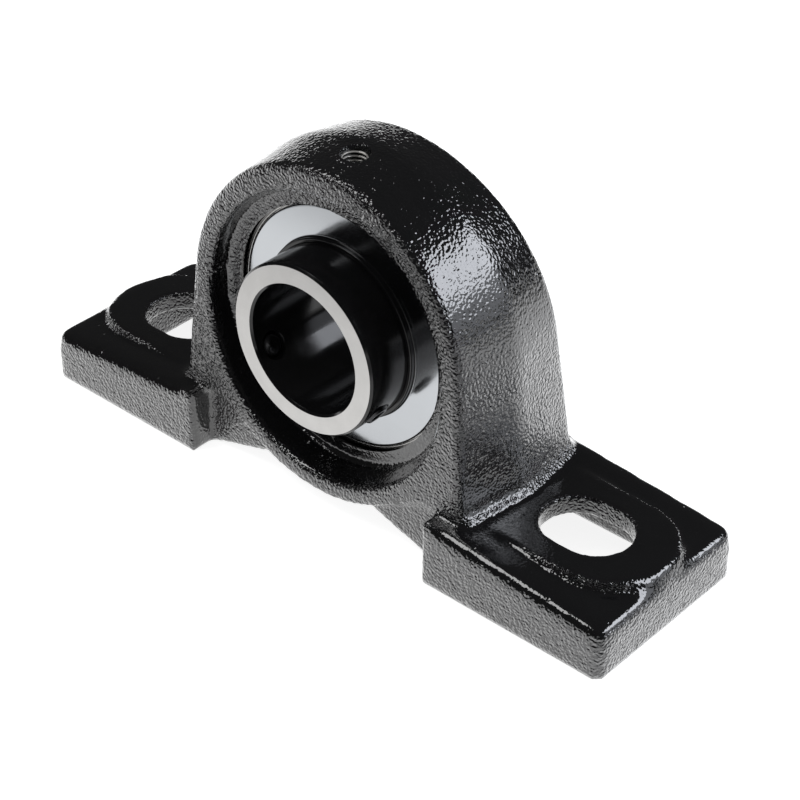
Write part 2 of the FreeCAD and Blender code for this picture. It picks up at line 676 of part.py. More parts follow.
def seal(name, side):
    """Lipped washer held in the outer ring, its rim thicker than its web."""
    inside = "seal_inner_face"
    outside = "(seal_inner_face + seal_thickness)"
    rim = "(seal_inner_face + seal_bead)"
    return ring_body(name, [
        (radius, mirrored(along, side)) for radius, along in (
            ("collar_dia / 2 + seal_gap", f"({inside} + seal_thickness / 2)"),
            ("collar_dia / 2 + seal_thickness", inside), ("seal_seat / 2", inside),
            ("seal_seat / 2", rim), ("seal_seat / 2 - seal_thickness", rim),
            ("seal_seat / 2 - 2 * seal_thickness", outside),
            ("collar_dia / 2 + seal_thickness", outside),
        )
    ])


def flinger(name, side):
    """Pressed thrower plate: a hub on its seat on the inner ring, a flat face and a turned rim."""
    return ring_body(name, [
        (radius, mirrored(along, side)) for radius, along in (
            (HUB_SEAT, SHEET_BACK), ("flinger_dia / 2 - flinger_sheet", SHEET_BACK),
            ("flinger_dia / 2 - flinger_sheet", "flinger_face - flinger_rim"),
            ("flinger_dia / 2", "flinger_face - flinger_rim"),
            ("flinger_dia / 2", "flinger_face - flinger_sheet / 3"),
            ("flinger_dia / 2 - flinger_sheet / 3", "flinger_face"),
            ("flinger_hub_dia / 2", "flinger_face"),
            ("flinger_hub_dia / 2", "flinger_hub - flinger_sheet / 3"),
            ("flinger_hub_dia / 2 - flinger_sheet / 3", "flinger_hub"),
            (HUB_SEAT, "flinger_hub"),
        )
    ])


# Build, check and write

pieces = [housing(), outer_ring(), inner_ring()]
pieces += [ball(index) for index in range(int(size("ball_count")))]
pieces += [cage_half("cage_front", FRONT), cage_half("cage_back", BACK), cage_rivets()]
pieces += [seal("seal_front", FRONT), seal("seal_back", BACK)]
pieces += [flinger("flinger_front", FRONT), flinger("flinger_back", BACK)]
pieces += [set_screw(index) for index in range(SCREW_COUNT)]
doc.recompute()

failed = [thing.Name for thing in doc.Objects if {"Invalid", "Error"} & set(thing.State)]
failed += [piece.Label for piece in pieces if piece.Shape.isNull() or not piece.Shape.isValid()]
if failed:
    raise RuntimeError(f"these did not build: {failed}")

os.makedirs("parts", exist_ok=True)
for piece in pieces:
    piece.Shape.exportStep(f"parts/{piece.Label}.step")
    print(piece.Label, f"{piece.Shape.Volume:.1f} mm3")
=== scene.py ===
import math

import bmesh
import bpy
import numpy as np
from bpy.props import FloatProperty, FloatVectorProperty, IntProperty, PointerProperty
from mathutils import Matrix, Quaternion, Vector, noise


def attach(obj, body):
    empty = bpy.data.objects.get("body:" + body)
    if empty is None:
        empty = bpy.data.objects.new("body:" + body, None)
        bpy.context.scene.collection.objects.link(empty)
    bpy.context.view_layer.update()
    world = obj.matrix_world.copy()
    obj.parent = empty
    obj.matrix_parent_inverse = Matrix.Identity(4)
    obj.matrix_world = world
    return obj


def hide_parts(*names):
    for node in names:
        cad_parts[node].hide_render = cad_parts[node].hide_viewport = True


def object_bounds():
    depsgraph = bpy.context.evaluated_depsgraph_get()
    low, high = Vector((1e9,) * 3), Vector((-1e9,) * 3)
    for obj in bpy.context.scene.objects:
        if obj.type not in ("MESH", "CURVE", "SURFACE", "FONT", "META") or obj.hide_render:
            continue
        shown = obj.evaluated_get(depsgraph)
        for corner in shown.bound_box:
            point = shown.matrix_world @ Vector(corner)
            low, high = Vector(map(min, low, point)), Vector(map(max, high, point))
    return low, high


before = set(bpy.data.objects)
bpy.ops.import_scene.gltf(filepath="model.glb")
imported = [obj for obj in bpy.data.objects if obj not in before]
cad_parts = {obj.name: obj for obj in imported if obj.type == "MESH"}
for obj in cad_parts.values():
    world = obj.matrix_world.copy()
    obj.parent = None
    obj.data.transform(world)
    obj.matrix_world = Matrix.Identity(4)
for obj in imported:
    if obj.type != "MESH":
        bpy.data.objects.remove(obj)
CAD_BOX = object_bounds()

bl_info = {
    "name": "Pillow Block Bearing",
    "version": (1, 0, 0),
    "blender": (4, 5, 0),
    "location": "3D View > Sidebar > Bearing",
    "description": "Dresses a pillow block bearing: cast housing, ball bearing insert and studio",
    "category": "Object",
}

# Sizes shared with the solids, in metres
MM = 0.001
CENTRE = 42.9 * MM
BASE_HALF = 82.5 * MM
WIDTH_HALF = 23.45 * MM
FOOT_ROOT = 34.6 * MM
FOOT_RISE = 16.2 * MM
FOOT_END = 12.4 * MM
FOOT_EDGE = 2.6 * MM
HEAD_RADIUS = 41 * MM
HEAD_DRAFT = math.radians(8)
RECESS_RADIUS = 32.2 * MM
RECESS_CORNER = 1.5 * MM
SEAT_HALF = 11.5 * MM
SEAT_RADIUS = 31.05 * MM
LOADING_RADIUS = 31.4 * MM
LOADING_HALF = 9.9 * MM
PORT_OFFSET = -5 * MM
PORT_DEPTH = 7 * MM
PORT_MOUTH = 3.4 * MM
PORT_CHAMFER = 0.9 * MM
PORT_DUCT = 1.5 * MM
THREAD_CREST = 2.6 * MM
THREAD_ROOT = 3.0 * MM
THREAD_PITCH = 1.0 * MM
BORE = 15 * MM
COLLAR = 20.1 * MM
INNER_FRONT = -22.2 * MM
INNER_BACK = 15.9 * MM
RING_CHAMFER = 0.5 * MM
OUTER_RADIUS = 31 * MM
OUTER_HALF = 9.5 * MM
BALL = 4.7625 * MM
PITCH = 23 * MM
GROOVE = 4.95 * MM
RACE_GAP = 0.02 * MM
OUTER_LAND = 26.2 * MM
SEAL_SEAT = 27.4 * MM
SEAL_FACE = 6.6 * MM
SEAL_RIM = 8.0 * MM
SEAL_THICK = 1.0 * MM
FLINGER = 28.3 * MM
FLINGER_GAP = 0.25 * MM
FLINGER_FACE = 9.9 * MM
FLINGER_SHEET = 0.8 * MM
FLINGER_RIM = 1.5 * MM
HUB_SEAT = 20.05 * MM
HUB = 21.1 * MM
HUB_END = 11.2 * MM
SCREW_RADIUS = 2.95 * MM
SCREW_HOLE = 3.0 * MM
SCREW_LENGTH = 5 * MM
SCREW_START = 15.6 * MM
SCREW_ALONG = -17.2 * MM
SCREW_PITCH = 0.75 * MM
SCREW_ANGLES = (207, 327)
FRONT = -1
BACK = 1

# Plugs in the machined holes while the skin is remade, and how far a cutter stands proud
PLUG_SPARE = 0.4 * MM
PLUG_DEPTH = 0.15 * MM
PROUD = 1 * MM
AXIS_GAP = 0.001 * MM

# Greatest angle between faces that are shaded smooth
SHARP = math.radians(38)
CAST_SHARP = math.radians(50)

# Smoothing of the casting: share of the way to the neighbours, there and back, and what the recess keeps
GIVE = 0.5
TAKE = -0.52
RECESS_KEEPS = 0.85

# Share of the cast grain that goes, or on the crown comes on top
LESS_ON_TOPS = 0.93
LESS_ON_SHOULDERS = 0.74
MORE_ON_CROWN = 0.2
LESS_ON_WALL = 0.88
LESS_ON_LEDGE = 0.8
LESS_ON_EDGES = 0.8
LESS_ON_FLANKS = 0.75

# Lumps and coarse pebbles of the cast skin: width in millimetres, share of the height, and top level
LUMP_WIDTH = 7
LUMP_SHARE = 0.45
PEBBLE_WIDTH = 2.1
PEBBLE_SHARE = 0.75
SKIN_LEVEL = 0.6

# Colours that no setting holds
BARE_THREAD = (0.38, 0.37, 0.35)
PAINTED_THREAD = (0.005, 0.005, 0.005)
SCREW_DARK = (0.03, 0.03, 0.032)
SCREW_LIGHT = (0.07, 0.07, 0.072)
WHITE = (1, 1, 1)
COOL_WHITE = (0.9, 0.93, 1.0)

# Stage distances, in metres; between the two of a pair the mirrored floor fades
LAMP_DISTANCE = 0.55
FLOOR_RADIUS = 0.4
FLOOR_DROP = 0.02 * MM
FADE_FRONT = (-0.115, -0.08)
FADE_RIGHT = (0.088, 0.106)
FADE_SIDE = (0.065, 0.035)

# Strengths: the mirrored floor where it has faded, the room as a gloss sees it, and its other light
DIM_FLOOR = 0.1
DARK_ROOM = 0.035
ROOM_LIGHT = 0.55

# Height of a direction, from -1 to 1, at which the bright floor starts to fade into the dark room
HORIZON = -0.06


class CastingSettings(bpy.types.PropertyGroup):
    """Cast housing: its mesh, its grain and its enamel."""
    cell: FloatProperty(
        name="Cell", description="Mesh cell of the casting", unit="LENGTH", default=0.72 * MM)
    swell: FloatProperty(
        name="Swell", description="Depth of the slow unevenness of the skin", unit="LENGTH",
        default=0.09 * MM)
    grain: FloatProperty(
        name="Grain", description="Depth of the pebbled cast grain", unit="LENGTH", default=0.36 * MM)
    grain_size: FloatProperty(
        name="Grain size", description="Width of one pebble", unit="LENGTH", default=0.62 * MM)
    softening: IntProperty(
        name="Softening", description="Smoothing rounds that the corners get", default=7, min=0, max=30)
    rounding: IntProperty(
        name="Rounding", description="More smoothing rounds for foot edges and parting line",
        default=26, min=0, max=40)
    enamel: FloatVectorProperty(
        name="Enamel", description="Colour of the enamel", subtype="COLOR", default=(0.0035, 0.0035, 0.0038))


class InsertSettings(bpy.types.PropertyGroup):
    """Ball bearing insert: how round its pieces are and the colours of its steels."""
    segments: IntProperty(
        name="Segments", description="Steps round a turned piece", default=192, min=24, max=720)
    ground: FloatVectorProperty(
        name="Ground steel", description="Colour of the ground faces", subtype="COLOR",
        default=(0.49, 0.482, 0.47))
    oxide: FloatVectorProperty(
        name="Black oxide", description="Colour of the blackened faces", subtype="COLOR",
        default=(0.003, 0.003, 0.0033))
    mirror: FloatVectorProperty(
        name="Polished steel", description="Colour of the thrower plates", subtype="COLOR",
        default=(0.42, 0.434, 0.45))
    rubber: FloatVectorProperty(
        name="Rubber", description="Colour of the seals", subtype="COLOR", default=(0.02, 0.02, 0.02))


class StageSettings(bpy.types.PropertyGroup):
    """Floor, lamps and camera."""
    azimuth: FloatProperty(
        name="Azimuth", description="Camera round the part", subtype="ANGLE",
        default=math.radians(41.859))
    elevation: FloatProperty(
        name="Elevation", description="Camera above the floor", subtype="ANGLE",
        default=math.radians(34.937))
    roll: FloatProperty(
        name="Roll", description="Camera about its own line of sight", subtype="ANGLE",
        default=math.radians(0.131))
    distance: FloatProperty(
        name="Distance", description="Camera from its target", unit="LENGTH", default=469.85 * MM)
    target: FloatVectorProperty(
        name="Target", description="Point that the camera looks at", subtype="TRANSLATION",
        default=(8.02 * MM, 0, 22.6 * MM))
    lens: FloatProperty(name="Lens", description="Focal length in millimetres", default=96.04)
    floor: FloatVectorProperty(
        name="Floor", description="Colour of the floor", subtype="COLOR", default=(0.5, 0.5, 0.5))
    glow: FloatProperty(
        name="Glow", description="What the floor adds where the camera sees it", default=0.86)


# Meshes

def mesh_from(name, points, faces):
    mesh = bpy.data.meshes.new(name)
    mesh.from_pydata([tuple(point) for point in points], [], faces)
    mesh.validate()
    work = bmesh.new()
    work.from_mesh(mesh)
    bmesh.ops.recalc_face_normals(work, faces=work.faces)
    work.to_mesh(mesh)
    work.free()
    return mesh


def smooth(mesh, angle=SHARP):
    mesh.shade_smooth()
    mesh.set_sharp_from_angle(angle=angle)


def new_object(name, data):
    """Object in the scene for a mesh, a lamp or a camera."""
    thing = bpy.data.objects.new(name, data)
    bpy.context.scene.collection.objects.link(thing)
    return thing


def settle(thing):
    """Replace the object's mesh by what its modifiers make of it."""
    graph = bpy.context.evaluated_depsgraph_get()
    graph.update()
    made = bpy.data.meshes.new_from_object(thing.evaluated_get(graph))
    old = thing.data
    thing.modifiers.clear()
    thing.data = made
    bpy.data.meshes.remove(old)


def carve(thing, tools):
    """Cut the tools out of the object and delete them."""
    for tool in tools:
        cut = thing.modifiers.new("cut", "BOOLEAN")
        cut.operation = "DIFFERENCE"
        cut.solver = "EXACT"
        cut.object = tool
    settle(thing)
    for tool in tools:
        mesh = tool.data
        bpy.data.objects.remove(tool)
        bpy.data.meshes.remove(mesh)


def finish_piece(thing, body, materials, nodes=()):
    """Give a piece its body and its materials, and hide the solids that it stands for."""
    thing.data.materials.clear()
    for material in materials:
        thing.data.materials.append(material)
    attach(thing, body)
    if nodes:
        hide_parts(*nodes)
    if not thing.data.polygons:
        raise RuntimeError(f"{thing.name} has no faces")
    return thing


def softened(corners, steps=4, support=0.06 * MM):
    """Closed section with rounded corners; each is its radius, its place along Y and its rounding."""
    points = []
    count = len(corners)
    for index, (radius, along, rounding) in enumerate(corners):
        here = Vector((radius, along))
        if rounding <= 0:
            points.append(here)
            continue
        to_last = Vector(corners[index - 1][:2]) - here
        to_next = Vector(corners[(index + 1) % count][:2]) - here
        back, ahead = to_last.normalized(), to_next.normalized()
        half = to_last.angle(to_next) / 2
        reach = rounding / math.tan(half)
        roomy = 2 * reach + 4 * support
        middle = here + (back + ahead).normalized() * (rounding / math.sin(half))
        start = here + back * reach
        end = here + ahead * reach
        if to_last.length > roomy:
            points.append(start + back * support)
        for step in range(steps + 1):
            spoke = (start - middle).normalized().slerp((end - middle).normalized(), step / steps)
            points.append(middle + spoke * rounding)
        if to_next.length > roomy:
            points.append(end + ahead * support)
    return points


def arc(middle, radius, first, last, count):
    """Unrounded corners along an arc, in degrees from the outward radius towards +Y."""
    corners = []
    for step in range(count + 1):
        turn = math.radians(first + (last - first) * step / count)
        corners.append((middle[0] + radius * math.cos(turn), middle[1] + radius * math.sin(turn), 0))
    return corners


def ring_faces(here, there, count):
    """Quads between two closed rows of points, given the number of each row's first point."""
    for step in range(count):
        ahead = (step + 1) % count
        yield (here + step, here + ahead, there + ahead, there + step)


def lathe(name, section, segments):
    """Turn a closed section about the shaft."""
    turns = np.linspace(0, 2 * math.pi, segments, endpoint=False)
    radius = np.array([point[0] for point in section])
    along = np.array([point[1] for point in section])
    x = np.outer(np.cos(turns), radius)
    z = np.outer(np.sin(turns), radius) + CENTRE
    y = np.broadcast_to(along, x.shape)
    points = np.stack([x, y, z], axis=-1).reshape(-1, 3)
    width = len(section)
    faces = []
    for turn in range(segments):
        faces += ring_faces(turn * width, (turn + 1) % segments * width, width)
    return mesh_from(name, points, faces)


def loop(radius_at, height, along=0, count=64):
    """Points round a line that stands on +Z; radius_at gives the radius at an angle."""
    points = []
    for turn in np.linspace(0, 2 * math.pi, count, endpoint=False):
        radius = radius_at(turn)
        points.append((radius * math.cos(turn), along + radius * math.sin(turn), height))
    return points


def circle(radius, height, along=0):
    return loop(lambda turn: radius, height, along)


def skin(name, rows, closed=False):
    """Quads between closed rows of points; open ends are drawn together to their middle."""
    count = len(rows[0])
    points = [point for row in rows for point in row]
    faces = []
    pairs = len(rows) if closed else len(rows) - 1
    for row in range(pairs):
        faces += ring_faces(row * count, (row + 1) % len(rows) * count, count)
    if not closed:
        for first in (0, (len(rows) - 1) * count):
            middle = len(points)
            ring = points[first:first + count]
            points.append(sum((Vector(point) for point in ring), Vector()) / count)
            for step in range(count):
                faces.append((first + step, first + (step + 1) % count, middle))
    return mesh_from(name, points, faces)


def thread_wave(turn, height, pitch):
    """0 at a thread's root and 1 at its crest."""
    slope = 1.6
    root_flat = 0.3
    phase = (height / pitch - turn / (2 * math.pi)) % 1
    return min(1, max(0, slope * (1 - abs(2 * phase - 1)) - root_flat))


# Materials

def new_material(name):
    material = bpy.data.materials.new(name)
    material.use_nodes = True
    shader = material.node_tree.nodes["Principled BSDF"]
    return material, material.node_tree, shader


def node(tree, kind, inputs=None, **values):
    """Node with its own values; inputs are numbers or sockets to link."""
    made = tree.nodes.new(kind)
    for key, value in values.items():
        setattr(made, key, value)
    for key, value in (inputs or {}).items():
        if isinstance(value, bpy.types.NodeSocket):
            tree.links.new(value, made.inputs[key])
        else:
            made.inputs[key].default_value = value
    return made


def maths(tree, operation, *inputs):
    return node(tree, "ShaderNodeMath", dict(enumerate(inputs)), operation=operation).outputs[0]


def ramp(tree, value, low, high, to_low=0.0, to_high=1.0):
    sockets = {"Value": value, "From Min": low, "From Max": high, "To Min": to_low, "To Max": to_high}
    return node(tree, "ShaderNodeMapRange", sockets).outputs["Result"]


def place(tree, offset=(0, 0, 0)):
    """Object coordinates in millimetres."""
    coordinates = node(tree, "ShaderNodeTexCoord").outputs["Object"]
    sockets = {"Vector": coordinates, "Scale": (1 / MM,) * 3, "Location": offset}
    return node(tree, "ShaderNodeMapping", sockets).outputs["Vector"]


def speckle(tree, vector, scale, detail=3.0, roughness=0.5, distortion=0.0):
    """Cloudy noise."""
    sockets = {
        "Vector": vector, "Scale": scale, "Detail": detail, "Roughness": roughness,
        "Distortion": distortion,
    }
    return node(tree, "ShaderNodeTexNoise", sockets).outputs["Fac"]


def cells(tree, vector, scale):
    """Distance to the middle of the nearest cell."""
    return node(tree, "ShaderNodeTexVoronoi", {"Vector": vector, "Scale": scale}).outputs["Distance"]


def turned_marks(tree, at, density, detail):
    """Fine lines round the shaft, for faces turned along it."""
    split = node(tree, "ShaderNodeSeparateXYZ", {0: at})
    line = node(tree, "ShaderNodeCombineXYZ", {"X": maths(tree, "MULTIPLY", split.outputs["Y"], density)})
    return speckle(tree, line.outputs["Vector"], 1.0, detail, roughness=0.7)


def scaled(colour, factor):
    return tuple(factor * part for part in colour)


def shade(tree, shader, value, low, high):
    """Base colour between two colours."""
    mix = node(tree, "ShaderNodeMix", data_type="RGBA")
    tree.links.new(value, mix.inputs["Factor"])
    mix.inputs["A"].default_value = (*low, 1)
    mix.inputs["B"].default_value = (*high, 1)
    tree.links.new(mix.outputs["Result"], shader.inputs["Base Color"])


def roughen(tree, shader, value, smoothest, roughest, low=0.3, high=0.7):
    """Roughness between two ends, while the value runs from low to high."""
    tree.links.new(ramp(tree, value, low, high, smoothest, roughest), shader.inputs["Roughness"])


def bump(tree, shader, height, distance, sockets=("Normal",)):
    raised = node(tree, "ShaderNodeBump", {"Height": height, "Distance": distance})
    for socket in sockets:
        tree.links.new(raised.outputs["Normal"], shader.inputs[socket])


def polar(tree):
    """Radius from the shaft in millimetres, and the angle round it."""
    split = node(tree, "ShaderNodeSeparateXYZ", {0: place(tree, offset=(0, 0, -CENTRE / MM))})
    x, z = split.outputs["X"], split.outputs["Z"]
    square = maths(tree, "ADD", maths(tree, "MULTIPLY", x, x), maths(tree, "MULTIPLY", z, z))
    return maths(tree, "SQRT", square), maths(tree, "ARCTAN2", z, x)


def enamel():
    """Glossy black enamel over the pebbled skin of a sand casting."""
    casting = bpy.context.scene.bearing_casting
    material, tree, shader = new_material("black_enamel")
    at = place(tree)
    size = MM / casting.grain_size
    bulge_share = 0.45
    hollow_share = 0.4
    pit_share = 0.3
    weight = node(tree, "ShaderNodeAttribute", attribute_name="grain").outputs["Fac"]
    pebbles = speckle(tree, at, size, detail=0.4, distortion=0.3)
    bulges = node(tree, "ShaderNodeTexVoronoi", {"Vector": at, "Scale": size * 0.9, "Smoothness": 0.5},
                  feature="SMOOTH_F1").outputs["Distance"]
    height = maths(tree, "SUBTRACT", pebbles, maths(tree, "MULTIPLY", bulges, bulge_share))
    sockets = {"Value": cells(tree, at, size * 0.6), "From Min": 0.05, "From Max": 0.5}
    hollow = node(tree, "ShaderNodeMapRange", sockets, interpolation_type="SMOOTHSTEP").outputs["Result"]
    height = maths(tree, "MULTIPLY_ADD", hollow, hollow_share, height)
    pit = ramp(tree, cells(tree, at, 0.26), 0.02, 0.13)
    height = maths(tree, "MULTIPLY_ADD", height, weight, maths(tree, "MULTIPLY", pit, pit_share))
    bump(tree, shader, height, casting.grain, ("Normal", "Coat Normal"))
    shade(tree, shader, speckle(tree, at, 0.16), casting.enamel, scaled(casting.enamel, 1.5))
    roughen(tree, shader, speckle(tree, at, 0.5), 0.1, 0.18)
    shader.inputs["Specular IOR Level"].default_value = 0.2
    shader.inputs["Coat Weight"].default_value = 1.0
    shader.inputs["Coat IOR"].default_value = 1.7
    shader.inputs["Coat Roughness"].default_value = 0.02
    return material


def ground_steel():
    """Ground steel face with fine marks round the shaft."""
    insert = bpy.context.scene.bearing_insert
    material, tree, shader = new_material("ground_steel")
    radius, turn = polar(tree)
    line = node(tree, "ShaderNodeCombineXYZ", {"X": maths(tree, "MULTIPLY", radius, 14), "Y": turn})
    marks = speckle(tree, line.outputs["Vector"], 1.0, roughness=0.7)
    shade(tree, shader, speckle(tree, place(tree), 0.22), scaled(insert.ground, 0.82), insert.ground)
    roughen(tree, shader, marks, 0.26, 0.44, low=0.25, high=0.75)
    bump(tree, shader, marks, 0.006 * MM)
    shader.inputs["Metallic"].default_value = 1.0
    return material


def black_oxide_and_hub_reflection():
    """Blackened steel with a faint turned grain; on the thrower hubs it is a painted reflection of the black
    collar.
    """
    insert = bpy.context.scene.bearing_insert
    material, tree, shader = new_material("black_oxide_and_hub_reflection")
    at = place(tree)
    cloud = speckle(tree, at, 0.3)
    shade(tree, shader, cloud, insert.oxide, scaled(insert.oxide, 1.8))
    roughen(tree, shader, cloud, 0.1, 0.16)
    bump(tree, shader, turned_marks(tree, at, 6, 3.0), 0.002 * MM)
    shader.inputs["Specular IOR Level"].default_value = 0.35
    return material


def polished_steel():
    """Mirror-bright sheet of the thrower plates."""
    insert = bpy.context.scene.bearing_insert
    material, tree, shader = new_material("polished_steel")
    at = place(tree)
    haze = speckle(tree, at, 0.2)
    shade(tree, shader, haze, scaled(insert.mirror, 0.92), insert.mirror)
    roughen(tree, shader, haze, 0.1, 0.16)
    bump(tree, shader, speckle(tree, at, 0.5, detail=2.0), 0.004 * MM)
    shader.inputs["Metallic"].default_value = 1.0
    return material


def bearing_steel(name, rough=0.22, tones=None):
    """Turned and ground steel; tones are its darkest and its lightest colour."""
    ground = bpy.context.scene.bearing_insert.ground
    dark, light = tones or (scaled(ground, 0.85), ground)
    material, tree, shader = new_material(name)
    marks = turned_marks(tree, place(tree), 9, 2.0)
    shade(tree, shader, marks, dark, light)
    roughen(tree, shader, marks, rough * 0.8, rough * 1.3)
    bump(tree, shader, marks, 0.004 * MM)
    shader.inputs["Metallic"].default_value = 1.0
    return material


def seal_rubber():
    """Matt moulded rubber."""
    insert = bpy.context.scene.bearing_insert
    material, tree, shader = new_material("seal_rubber")
    grain = speckle(tree, place(tree), 3.0)
    shade(tree, shader, grain, insert.rubber, scaled(insert.rubber, 1.4))
    roughen(tree, shader, grain, 0.5, 0.65)
    bump(tree, shader, grain, 0.02 * MM)
    return material


def thread_enamel():
    """Cut thread: bare at its crests, enamel in its roots."""
    material, tree, shader = new_material("thread_enamel")
    at = place(tree, offset=(0, -PORT_OFFSET / MM, 0))
    flat = node(tree, "ShaderNodeVectorMath", {0: at, 1: (1, 1, 0)}, operation="MULTIPLY").outputs[0]
    radius = node(tree, "ShaderNodeVectorMath", {0: flat}, operation="LENGTH").outputs["Value"]
    root = ramp(tree, radius, THREAD_CREST / MM + 0.06, THREAD_ROOT / MM - 0.12)
    shade(tree, shader, root, BARE_THREAD, PAINTED_THREAD)
    grain = speckle(tree, at, 2.0, detail=2.0)
    roughen(tree, shader, grain, 0.25, 0.4)
    bump(tree, shader, grain, 0.02 * MM)
    shader.inputs["Metallic"].default_value = 0.4
    return material


# Casting

def add_plug(work, radius, length, middle, axis):
    """Closed drum that fills a machined hole before the skin is remade."""
    turn = Vector((0, 0, 1)).rotation_difference(Vector(axis)).to_matrix().to_4x4()
    bmesh.ops.create_cone(
        work, cap_ends=True, segments=96, radius1=radius, radius2=radius, depth=length,
        matrix=Matrix.Translation(middle) @ turn)


def crown_height():
    return CENTRE + HEAD_RADIUS + PORT_OFFSET * math.tan(HEAD_DRAFT)


def raw_casting(name, cell):
    """Even quads over the housing's solid, with its machined seat and grease port filled."""
    work = bmesh.new()
    work.from_mesh(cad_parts["housing"].data)
    add_plug(work, SEAT_RADIUS + PLUG_SPARE, 2 * SEAT_HALF, (0, 0, CENTRE), (0, 1, 0))
    top = crown_height() - PLUG_DEPTH
    add_plug(work, PORT_MOUTH, top - CENTRE, (0, PORT_OFFSET, (top + CENTRE) / 2), (0, 0, 1))
    mesh = bpy.data.meshes.new(name)
    work.to_mesh(mesh)
    work.free()
    thing = new_object(name, mesh)
    remake = thing.modifiers.new("remake", "REMESH")
    remake.mode = "VOXEL"
    remake.voxel_size = cell
    settle(thing)
    return thing


def neighbour_offset(points, edges):
    """From each point to the middle of its neighbours."""
    first, second = edges.T
    count = len(points)
    degree = np.bincount(first, minlength=count) + np.bincount(second, minlength=count)
    middle = np.empty_like(points)
    for axis in range(3):
        middle[:, axis] = np.bincount(first, points[second, axis], count)
        middle[:, axis] += np.bincount(second, points[first, axis], count)
    return middle / degree[:, None] - points


def spread(points, edges, rounds):
    """Rounds off corners without shrinking the whole."""
    for _ in range(rounds):
        points = points + GIVE * neighbour_offset(points, edges)
        points = points + TAKE * neighbour_offset(points, edges)
    return points


def round_off(points, edges, near, rounds):
    """More smoothing where near is 1."""
    for _ in range(rounds):
        points = points + GIVE * near[:, None] * neighbour_offset(points, edges)
    return points


def fade(value, low, high):
    """0 below low, 1 above high, smooth between."""
    share = np.clip((value - low) / (high - low), 0, 1)
    return share * share * (3 - 2 * share)


def recess_wall(points):
    """1 on the wall of a recess and on its two edges, 0 elsewhere."""
    x, y, z = points.T
    past_floor = np.hypot(x, z - CENTRE) - RECESS_RADIUS
    near = fade(past_floor, -2 * RECESS_CORNER, -RECESS_CORNER)
    near = near * (1 - fade(past_floor, 3 * MM, 4.5 * MM))
    return near * fade(np.abs(y) - SEAT_HALF, -2 * RECESS_CORNER, -RECESS_CORNER)


def foot_edge(points):
    """1 along the top edges of the feet, 0 elsewhere."""
    x, y, z = points.T
    across = np.abs(x)
    share = np.clip((across - FOOT_ROOT) / (BASE_HALF - FOOT_ROOT), 0, 1)
    top = FOOT_RISE + (FOOT_END - FOOT_RISE) * share
    inward = np.minimum(BASE_HALF - across, WIDTH_HALF - np.abs(y))
    near = (1 - fade(inward, FOOT_EDGE, 2 * FOOT_EDGE)) * fade(z - top, -2 * FOOT_EDGE, -FOOT_EDGE)
    return near * fade(across, FOOT_ROOT + 2 * MM, FOOT_ROOT + 5 * MM)


def parting_line(points):
    """1 along the ridge between the front and back drafts of the ring and flanks, 0 elsewhere."""
    x, y, z = points.T
    reach = np.hypot(x, np.maximum(z - CENTRE, 0))
    outside = fade(reach, HEAD_RADIUS - 5 * MM, HEAD_RADIUS - 3 * MM)
    outside = outside * fade(z, FOOT_RISE + 5 * MM, FOOT_RISE + 9 * MM)
    return outside * (1 - fade(np.abs(y), 3 * MM, 6 * MM))


def grain_weights(points, normals):
    """How rough the skin is: 1 on the faces, less on pads, shoulders, flanks, edges and in the recess."""
    x, y, z = points.T
    reach = np.hypot(x, z - CENTRE)
    facing = np.abs(normals[:, 1])
    weight = np.ones(len(points))
    tops = fade(normals[:, 2], 0.75, 0.95) * fade(np.abs(x), FOOT_ROOT, FOOT_ROOT + 3 * MM)
    weight -= LESS_ON_TOPS * tops * fade(-z, -22 * MM, -18 * MM)
    outside = 1 - fade(facing, 0.4, 0.8)
    weight -= outside * LESS_ON_SHOULDERS * fade(z, CENTRE - 4 * MM, CENTRE + 14 * MM)
    weight += outside * MORE_ON_CROWN * fade(z, CENTRE + 32 * MM, CENTRE + 38 * MM)
    inside = 1 - fade(reach, RECESS_RADIUS + 3 * MM, RECESS_RADIUS + 4.5 * MM)
    wall = inside * (1 - fade(facing, 0.5, 0.85))
    weight *= 1 - LESS_ON_WALL * wall
    ledge = (1 - fade(reach, RECESS_RADIUS - 0.4 * MM, RECESS_RADIUS + MM)) * fade(facing, 0.4, 0.8)
    weight *= 1 - LESS_ON_LEDGE * ledge * (1 - fade(z, CENTRE - 20 * MM, CENTRE - 8 * MM))
    weight *= 1 - LESS_ON_EDGES * foot_edge(points) * fade(normals[:, 2], 0.15, 0.5)
    flank = 1 - fade(z, CENTRE - 8 * MM, CENTRE + 2 * MM)
    flank *= fade(np.abs(normals[:, 0]), 0.6, 0.9) * (1 - fade(np.abs(x), 50 * MM, 60 * MM))
    weight *= 1 - LESS_ON_FLANKS * flank * (1 - fade(y, -4 * MM, 8 * MM))
    weight *= fade(z, 0.05 * MM, 0.8 * MM)
    return np.clip(weight, 0, 1)


def read_points(mesh):
    """Places and normals of a mesh's points."""
    points = np.empty(len(mesh.vertices) * 3)
    mesh.vertices.foreach_get("co", points)
    normals = np.empty(len(mesh.vertices) * 3)
    mesh.vertices.foreach_get("normal", normals)
    return points.reshape(-1, 3), normals.reshape(-1, 3)


def read_edges(mesh):
    edges = np.empty(len(mesh.edges) * 2, int)
    mesh.edges.foreach_get("vertices", edges)
    return edges.reshape(-1, 2)


def write_points(mesh, points):
    mesh.vertices.foreach_set("co", points.ravel())
    mesh.update()


def uneven(point):
    """Slow lumps and coarser pebbles of the cast skin, from 0 down to -1."""
    at = Vector(point) / MM
    lumps = noise.noise(at / LUMP_WIDTH) * LUMP_SHARE
    pebbles = noise.noise(at / PEBBLE_WIDTH + Vector((31, 7, 3))) * PEBBLE_SHARE
    return min(0, (lumps + pebbles - SKIN_LEVEL) / (1 + SKIN_LEVEL))


